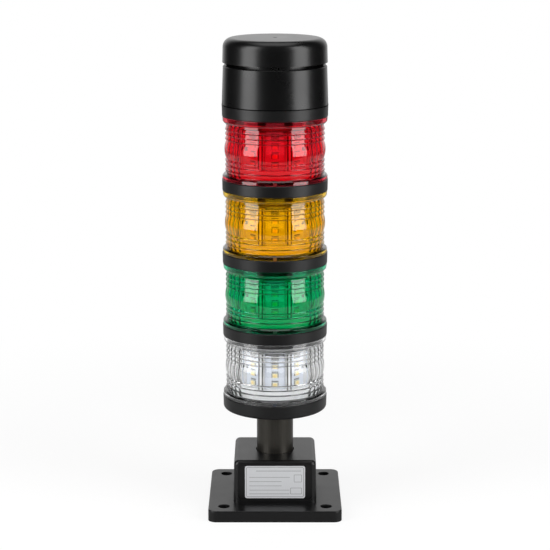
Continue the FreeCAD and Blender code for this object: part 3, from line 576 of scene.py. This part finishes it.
def fin_shadow_bead_tree():
    """Two upright dark beads at a radius, a painted shadow each side of a fin, turned about +Z for every fin.
    """
    tree, given, end = new_tree("fin_shadow_beads", Int=("Fins",), Float=("Reach", "Spread", "Bead", "Low", "High"),
                                Material=("Plastic",))
    stem = put(tree, "GeometryNodeCurvePrimitiveLine", {
        "Start": spot(tree, z=given["Low"]), "End": spot(tree, z=given["High"])}).outputs[0]
    section = put(tree, "GeometryNodeCurvePrimitiveCircle", {
        "Resolution": 12, "Radius": given["Bead"]}).outputs[0]
    bead = smoothed(tree, put(tree, "GeometryNodeCurveToMesh", {
        "Curve": stem, "Profile Curve": section, "Fill Caps": True}).outputs[0])
    reach = calc(tree, "MULTIPLY", given["Reach"], -1.0)
    pair = together(tree, *(
        moved(tree, bead, Translation=spot(tree, calc(tree, "MULTIPLY", given["Spread"], side), reach))
        for side in (0.5, -0.5)))
    one_fin = calc(tree, "DIVIDE", math.tau, given["Fins"])
    real = realized(tree, ring_of(tree, pair, given["Fins"], one_fin, ahead=0.5))
    tree.links.new(painted(tree, real, given["Plastic"]), end.inputs[0])
    return tree


fin_shadow_beads = fin_shadow_bead_tree()
for colour in COLOURS:
    low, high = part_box(f"{colour}_led_boards")
    piece = grow(f"{colour}_fin_shadow_beads", fin_shadow_beads, {
        "Fins": FACETS, "Reach": FIN_REACH - BEAD_SUNK, "Spread": FIN_WIDTH, "Bead": BEAD,
        "Low": low[2] + END_GAP, "High": high[2] - END_GAP, "Plastic": shadow_and_resistor_grey})
    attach(piece, f"{colour}_module")


# ---------------------------------------------------------------- lenses
# Thick polycarbonate: a crowned barrel between two sets of stepped rings, flanges above and below,
# and upright flutes inside both flanks, with clear windows in front and behind.  A small raised bar
# on the lower flange shows how to line a module up before the twist.

LENS_SEGMENTS = 360
INNER_RADIUS, WALL_LIMIT = 0.0299, 0.0317
FLUTES, FLUTE_PITCH, FLUTE_RADIUS, FLUTE_DEPTH = 11, math.radians(9.0), 0.0050, 0.0005
FLUTE_LOW, FLUTE_HIGH = 0.0043, 0.0370
MARK_HALF_WIDTH, MARK_FRONT, MARK_BACK = 0.0012, 0.03484, 0.0344
MARK_LOW, MARK_HIGH = 0.0001, 0.00225
LENS_TINTS = {
    "clear": (0.985, 0.99, 0.993), "green": (0.02, 0.66, 0.33),
    "amber": (1.0, 0.65, 0.015), "red": (0.92, 0.06, 0.10)}
MARK_SHADES = {
    "clear": (0.035, 0.04, 0.05), "green": (0.003, 0.030, 0.012),
    "amber": (0.17, 0.065, 0.004), "red": (0.13, 0.003, 0.004)}


def rounded_outline(corners, steps=4):
    """Points of a closed outline of (radius, height, rounding) corners; rounding 0 keeps a point."""
    points = []
    for number, (x, z, size) in enumerate(corners):
        if size == 0.0:
            points.append((x, z))
            continue
        before, after = corners[number - 1], corners[(number + 1) % len(corners)]
        to_a, to_b = (before[0] - x, before[1] - z), (after[0] - x, after[1] - z)
        long_a, long_b = math.hypot(*to_a), math.hypot(*to_b)
        to_a, to_b = (to_a[0] / long_a, to_a[1] / long_a), (to_b[0] / long_b, to_b[1] / long_b)
        opening = math.acos(max(-1.0, min(1.0, to_a[0] * to_b[0] + to_a[1] * to_b[1])))
        reach = min(size / math.tan(opening / 2), long_a * 0.48, long_b * 0.48)
        a, b = (x + to_a[0] * reach, z + to_a[1] * reach), (x + to_b[0] * reach, z + to_b[1] * reach)
        for step in range(steps + 1):
            t = step / steps
            bend = (1 - t) ** 2, 2 * t * (1 - t), t ** 2
            points.append((bend[0] * a[0] + bend[1] * x + bend[2] * b[0],
                           bend[0] * a[1] + bend[1] * z + bend[2] * b[1]))
    return points


def outline_mesh(name, corners, foot=0.0):
    """A bare outline in the XZ plane, from corners in millimetres above a height in metres."""
    mesh = bpy.data.meshes.new(name)
    mesh.from_pydata([(r / 1000, 0.0, foot + z / 1000) for r, z in rounded_outline(corners)], [], [])
    return mesh


def lens_corners():
    """The lens's outline in millimetres above its own foot, counter-clockwise with the axis on the left."""
    ridge, valley, inside, seat, flange = 32.9, 31.9, 29.9, 31.5, 34.6
    pitch, riser, barrel_low, barrel_high = 3.25, 0.55, 13.225, 25.975
    low_rings, high_rings = (3.475, 6.725, 9.975), (25.975, 29.225, 32.475)
    inner_ridge = inside + ridge - valley
    # The barrel bows out by sag between its two edges, on an arc of a circle
    half, sag, middle, steps = 6.375, 1.3, 19.6, 20
    bow = (half * half + sag * sag) / (2 * sag)
    heights = [-half + 2 * half * step / steps for step in range(1, steps)]
    crown = [(sag - bow + math.sqrt(bow * bow - height * height), middle + height) for height in heights]

    # Up the outside: flange, rings, barrel, rings, flange
    corners = [(seat, 0.0, 0.1), (flange, 0.0, 0.25), (flange, 2.3, 0.35), (33.6, 3.3, 0.25),
               (valley, 3.42, 0.15)]
    for first in low_rings:
        corners += [(valley, first + riser * 0.3, 0.15), (ridge, first + pitch - riser * 0.7, 0.4)]
    corners.append((valley, barrel_low, 0.12))
    corners += [(valley + out, height, 0.0) for out, height in crown]
    corners.append((valley, barrel_high, 0.12))
    for first in high_rings:
        corners += [(ridge, first + riser * 0.7, 0.4), (valley, first + pitch - riser * 0.3, 0.15)]
    corners += [(valley, 37.25, 0.15), (33.4, 37.25, 0.25), (34.2, 38.25, 0.35), (flange, 41.25, 0.25),
                (seat, 41.25, 0.1), (seat, 38.25, 0.15), (inside, 38.25, 0.25)]
    # Down the inside
    corners += [(inside, height, 0.0) for height in (37.05, 36.55)]
    for first in reversed(high_rings):
        corners += [(inside, first + pitch - riser * 0.3, 0.15), (inner_ridge, first + riser * 0.7, 0.4)]
    corners.append((inside, barrel_high, 0.12))
    corners += [(inside + out, height, 0.0) for out, height in reversed(crown)]
    corners.append((inside, barrel_low, 0.12))
    for first in reversed(low_rings):
        corners += [(inner_ridge, first + pitch - riser * 0.7, 0.4), (inside, first + riser * 0.3, 0.15)]
    corners += [(inside, 3.0, 0.1), (seat, 3.0, 0.15)]
    return corners


def turned_lens_tree():
    """Turns an outline about +Z and lets upright flutes into the inside of both flanks."""
    tree, given, end = new_tree(
        "turned_lens", Geometry=("Outline",), Int=("Segments", "Flutes"),
        Float=("Inner Radius", "Wall Limit", "Flute Radius", "Flute Depth", "Flute Pitch", "Flute Low",
               "Flute High"),
        Material=("Plastic",))

    def maths(operation, first, second=0.0):
        return calc(tree, operation, first, second)

    # A flat grid with a column for each point of the outline, rolled up about the axis
    count = put(tree, "GeometryNodeAttributeDomainSize", {0: given["Outline"]},
                component="MESH").outputs["Point Count"]
    grid = put(tree, "GeometryNodeMeshGrid", {
        "Size X": 1.0, "Size Y": 1.0, "Vertices X": maths("ADD", count, 1.0),
        "Vertices Y": maths("ADD", given["Segments"], 1.0)})
    position = put(tree, "GeometryNodeInputPosition").outputs[0]
    place = put(tree, "ShaderNodeSeparateXYZ", {0: position}).outputs
    column, row = maths("ADD", place["X"], 0.5), maths("ADD", place["Y"], 0.5)
    number = maths("MODULO", maths("ROUND", maths("MULTIPLY", column, count)), count)
    sample = tree.nodes.new("GeometryNodeSampleIndex")
    sample.data_type, sample.domain = "FLOAT_VECTOR", "POINT"
    feed(tree, sample, Geometry=given["Outline"], Value=position, Index=number)
    outline = put(tree, "ShaderNodeSeparateXYZ", {0: sample.outputs[0]}).outputs
    angle = maths("MULTIPLY", row, math.tau)

    # How far a point of the inner wall is from the middle of its flute, and how deep it is cut there
    fold = maths("ARCSINE", maths("ABSOLUTE", maths("SINE", angle)))
    steps = maths("DIVIDE", fold, given["Flute Pitch"])
    nearest = maths("ROUND", steps)
    last = maths("DIVIDE", maths("SUBTRACT", given["Flutes"], 1.0), 2.0)
    on_flank = maths("LESS_THAN", nearest, maths("ADD", last, 0.5))
    off = maths("MULTIPLY", maths("MULTIPLY", maths("SUBTRACT", steps, nearest), given["Flute Pitch"]),
                given["Inner Radius"])
    squared = maths("SUBTRACT", maths("POWER", given["Flute Radius"], 2.0),
                    maths("POWER", maths("ABSOLUTE", off), 2.0))
    bow = maths("SQRT", maths("MAXIMUM", squared, 0.0))
    cut = maths("SUBTRACT", maths("ADD", bow, given["Flute Depth"]), given["Flute Radius"])
    cut = maths("MAXIMUM", cut, 0.0)
    on_wall = maths("LESS_THAN", outline["X"], given["Wall Limit"])
    above = maths("GREATER_THAN", outline["Z"], given["Flute Low"])
    below = maths("LESS_THAN", outline["Z"], given["Flute High"])
    where = maths("MULTIPLY", maths("MULTIPLY", on_wall, on_flank), maths("MULTIPLY", above, below))
    radius = maths("ADD", outline["X"], maths("MULTIPLY", cut, where))
    point = spot(tree, maths("MULTIPLY", radius, maths("COSINE", angle)),
                 maths("MULTIPLY", radius, maths("SINE", angle)), outline["Z"])

    shell = put(tree, "GeometryNodeSetPosition", {
        "Geometry": grid.outputs["Mesh"], "Position": point}).outputs[0]
    shell = put(tree, "GeometryNodeMergeByDistance", {"Geometry": shell, "Distance": 0.000002}).outputs[0]
    shell = smoothed(tree, put(tree, "GeometryNodeFlipFaces", {0: shell}).outputs[0])
    tree.links.new(painted(tree, realized(tree, shell), given["Plastic"]), end.inputs[0])
    return tree


def lens_plastic(name, tint):
    """Transparent coloured polycarbonate, polished, with the faint waviness of a moulding."""
    material, tree, surface = new_finish(name, IOR=1.58, Transmission_Weight=1.0)
    skin = place_group(tree, moulded_grain, Grain=0.004, Wave=0.012, Waviness=1.0)
    feed(tree, surface, Base_Color=blend(tree, skin["Mottle"], tint, tuple(part ** 1.08 for part in tint)),
         Roughness=calc(tree, "MULTIPLY", skin["Mottle"], 0.01),
         Normal=bumped(tree, skin["Height"], 0.0000002))
    return material


def flange_mark(name, low, high, material):
    """Upright bar that faces -Y between two heights, closed on all sides, its front corners cut off."""
    half, front, back = MARK_HALF_WIDTH, MARK_FRONT, MARK_BACK
    corner = half * 0.2
    section = [(-half, -back), (-half, -front + corner), (-half + corner, -front),
               (half - corner, -front), (half, -front + corner), (half, -back)]
    count = len(section)
    points = [(x, y, z) for z in (low, high) for x, y in section]
    faces = [tuple(reversed(range(count))), tuple(range(count, 2 * count))]
    faces += [(i, (i + 1) % count, (i + 1) % count + count, i + count) for i in range(count)]
    mesh = bpy.data.meshes.new(name)
    mesh.from_pydata(points, [], faces)
    mesh.materials.append(material)
    mark = bpy.data.objects.new(name, mesh)
    bpy.context.scene.collection.objects.link(mark)
    return mark


turned_lens = turned_lens_tree()
for colour in COLOURS:
    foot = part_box(f"{colour}_lens")[0][2]
    piece = grow(f"{colour}_lens_shell", turned_lens, {
        "Segments": LENS_SEGMENTS, "Inner Radius": INNER_RADIUS, "Wall Limit": WALL_LIMIT,
        "Flute Radius": FLUTE_RADIUS, "Flute Depth": FLUTE_DEPTH, "Flute Pitch": FLUTE_PITCH,
        "Flutes": FLUTES, "Flute Low": foot + FLUTE_LOW, "Flute High": foot + FLUTE_HIGH,
        "Plastic": lens_plastic(f"lens_{colour}", LENS_TINTS[colour])},
        outline_mesh(f"{colour}_outline", lens_corners(), foot), turned=True)
    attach(piece, f"{colour}_module")
    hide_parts(f"{colour}_lens")
    shade = MARK_SHADES[colour]
    mark = flange_mark(f"{colour}_lens_mark", foot + MARK_LOW, foot + MARK_HIGH,
                       mottled_plastic(f"mark_{colour}", shade, times(shade, 1.2), 0.35))
    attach(mark, f"{colour}_module")


# ---------------------------------------------------------------- lens seals and sounder lip
# A thin black band seals the foot of each lens on its base and shows dark through the flange.
# Under the sounder a narrow near-black lip without shine fills the seam between the two black parts:
# a painted shadow of the gap there.

BAND_SEGMENTS = 180
SEAL_INNER, SEAL_OUTER, SEAL_LOW, SEAL_HIGH = 0.03133, 0.03147, 0.0003, 0.0028
LIP_INNER, LIP_OUTER, LIP_LOW, LIP_HIGH = 0.0340, 0.03496, -0.00032, 0.00016


def turned_band(name, inner, outer, low, high, rounding, material):
    """A closed band between two radii and two heights in metres, turned about +Z; rounding is in mm."""
    corners = [(inner * 1000, low * 1000, rounding), (outer * 1000, low * 1000, rounding),
               (outer * 1000, high * 1000, rounding), (inner * 1000, high * 1000, rounding)]
    return grow(name, turned_lens, {"Segments": BAND_SEGMENTS, "Plastic": material},
                outline_mesh(f"{name}_outline", corners), turned=True)


for colour in COLOURS:
    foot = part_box(f"{colour}_lens")[0][2]
    piece = turned_band(f"{colour}_lens_seal", SEAL_INNER, SEAL_OUTER, foot + SEAL_LOW, foot + SEAL_HIGH,
                        rounding=0.02, material=seal_rubber)
    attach(piece, f"{colour}_module")

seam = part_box("sounder_housing")[0][2]
# Foam with no shine, so that the lip shows as the seam's painted shadow
seam_shadow_foam = rubber("seam_shadow_foam", (0.0006, 0.0006, 0.0006), Specular_IOR_Level=0.0)
piece = turned_band("sounder_seam_shadow_lip", LIP_INNER, LIP_OUTER, seam + LIP_LOW, seam + LIP_HIGH,
                    rounding=0.04, material=seam_shadow_foam)
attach(piece, "red_module")


# ---------------------------------------------------------------- sounder
# Glossier black plastic: a drafted housing, a slotted gap that lets the sound out, and a cap with a
# large round edge.  A round piezo buzzer stands inside.

sounder_black = black_plastic(
    "sounder_black", (0.0025, 0.0025, 0.0026), gloss=0.29, grain=0.0004, depth=0.000008, rub=0.3)
buzzer_black = black_plastic(
    "buzzer_black", (0.014, 0.014, 0.014), gloss=0.4, grain=0.0003, depth=0.00001, rub=0.2)
finish_nodes(sounder_black, "sounder_housing", "sounder_cap")
finish_nodes(buzzer_black, "buzzer")


# ---------------------------------------------------------------- studio
# A plain white floor that keeps the part's soft shadow, and a white room around it: bright behind
# the part and dim in front, with a tall soft box on each side.

WHITE = (1.0, 1.0, 1.0, 1.0)
FLOOR_HALF_WIDTH, FLOOR_FRONT, FLOOR_BACK = 0.85, -0.32, 2.5


def studio_floor():
    """Floor that looks white, and gives the part a light that grows from front to back."""
    mesh = bpy.data.meshes.new("studio_floor")
    mesh.from_pydata([(-FLOOR_HALF_WIDTH, FLOOR_FRONT, 0.0), (FLOOR_HALF_WIDTH, FLOOR_FRONT, 0.0),
                      (FLOOR_HALF_WIDTH, FLOOR_BACK, 0.0), (-FLOOR_HALF_WIDTH, FLOOR_BACK, 0.0)], [],
                     [(0, 1, 2, 3)])
    floor = bpy.data.objects.new("studio_floor", mesh)
    bpy.context.scene.collection.objects.link(floor)
    material = bpy.data.materials.new("studio_white")
    material.use_nodes = True
    tree = material.node_tree
    tree.nodes.clear()
    path = put(tree, "ShaderNodeLightPath").outputs
    seen = calc(tree, "MAXIMUM", path["Is Camera Ray"], path["Is Transmission Ray"])
    place = on_piece(tree)
    depth = put(tree, "ShaderNodeMapRange", {
        "Value": put(tree, "ShaderNodeSeparateXYZ", {0: place}).outputs["Y"], "From Min": -0.06,
        "From Max": 0.25, "To Min": 0.36, "To Max": 0.80}).outputs[0]
    shade = put(tree, "ShaderNodeCombineColor", {0: depth, 1: depth, 2: depth}).outputs[0]
    lit = put(tree, "ShaderNodeBsdfDiffuse", {"Color": shade})
    # Near the part the paper keeps its shadow; further off it is plain white
    away = put(tree, "ShaderNodeVectorMath", {0: place}, operation="LENGTH")
    far = put(tree, "ShaderNodeMapRange", {
        "Value": away.outputs["Value"], "From Min": 0.15, "From Max": 0.5},
        interpolation_type="SMOOTHSTEP").outputs[0]
    paper = put(tree, "ShaderNodeBsdfDiffuse", {"Color": (0.20, 0.20, 0.20, 1.0)})
    glow = put(tree, "ShaderNodeEmission", {"Color": WHITE, "Strength": 0.82})
    near = put(tree, "ShaderNodeAddShader", {0: paper.outputs[0], 1: glow.outputs[0]})
    white = put(tree, "ShaderNodeEmission", {"Color": WHITE, "Strength": 1.0})
    shown = put(tree, "ShaderNodeMixShader", {0: far, 1: near.outputs[0], 2: white.outputs[0]})
    mix = put(tree, "ShaderNodeMixShader", {0: seen, 1: lit.outputs[0], 2: shown.outputs[0]})
    put(tree, "ShaderNodeOutputMaterial", {"Surface": mix.outputs[0]})
    mesh.materials.append(material)


def studio_room():
    """World that is plain white to the eye and to what lights the white parts inside a lens.

    For gloss and other light it is white only straight behind the part; through a lens it is white
    on all sides but the front."""
    world = bpy.data.worlds.new("studio_room")
    bpy.context.scene.world = world
    world.use_nodes = True
    tree = world.node_tree
    tree.nodes.clear()
    path = put(tree, "ShaderNodeLightPath").outputs
    through = path["Is Transmission Ray"]
    # Light that reaches the white parts inside comes through the lenses from the whole white room
    inside = calc(tree, "MULTIPLY", through, calc(tree, "MINIMUM", path["Diffuse Depth"], 1.0))
    seen = calc(tree, "MAXIMUM", path["Is Camera Ray"], inside)
    way = put(tree, "ShaderNodeSeparateXYZ", {0: put(tree, "ShaderNodeTexCoord").outputs["Generated"]})
    behind = put(tree, "ShaderNodeMapRange", {
        "Value": calc(tree, "MULTIPLY_ADD", through, 1.2, way.outputs["Y"]), "From Min": 0.62,
        "From Max": 0.98, "To Min": 0.015, "To Max": 1.0}, interpolation_type="SMOOTHSTEP").outputs[0]
    room = put(tree, "ShaderNodeBackground", {"Color": WHITE, "Strength": behind})
    bright = calc(tree, "MULTIPLY_ADD", inside, 0.35, 1.0)
    white = put(tree, "ShaderNodeBackground", {"Color": WHITE, "Strength": bright})
    mix = put(tree, "ShaderNodeMixShader", {0: seen, 1: room.outputs[0], 2: white.outputs[0]})
    put(tree, "ShaderNodeOutputWorld", {"Surface": mix.outputs[0]})


def soft_box(name, azimuth, distance, width, low, high, power):
    """A tall soft light that stands at an angle from the front and faces the part."""
    lamp = bpy.data.lights.new(name, "AREA")
    lamp.shape = "RECTANGLE"
    lamp.size, lamp.size_y = width, high - low
    lamp.energy = power
    box = bpy.data.objects.new(name, lamp)
    bpy.context.scene.collection.objects.link(box)
    turn = math.radians(azimuth)
    box.location = (distance * math.sin(turn), -distance * math.cos(turn), (low + high) / 2)
    box.rotation_euler = (math.radians(90.0), 0.0, turn)
    box.visible_camera = False
    return box


studio_floor()
studio_room()
for name, azimuth in (("soft_box_left", -58.0), ("soft_box_right", 58.0)):
    soft_box(name, azimuth, distance=1.0, width=0.62, low=0.0, high=1.3, power=10.5)
fill = soft_box("soft_box_front", azimuth=0.0, distance=1.15, width=0.9, low=0.15, high=1.05, power=6.5)
fill.visible_glossy = False
ceiling = soft_box("soft_box_top", azimuth=0.0, distance=0.0, width=1.2, low=0.0, high=1.2, power=7.0)
ceiling.location = (0.0, 0.0, 1.7)
ceiling.rotation_euler = (0.0, 0.0, 0.0)


# ---------------------------------------------------------------- camera
# Looks along +Y from a little above the part, at the height and the angle of a product shot.

CAMERA_PLACE, CAMERA_TILT = (0.0, -1.2053, 0.4257), math.radians(77.48)

optics = bpy.data.cameras.new("camera")
optics.lens, optics.sensor_width = 121.1, 36.0
camera = bpy.data.objects.new("camera", optics)
bpy.context.scene.collection.objects.link(camera)
camera.location = CAMERA_PLACE
camera.rotation_euler = (CAMERA_TILT, 0.0, 0.0)
bpy.context.scene.camera = camera

bpy.context.scene.view_settings.view_transform = "Standard"
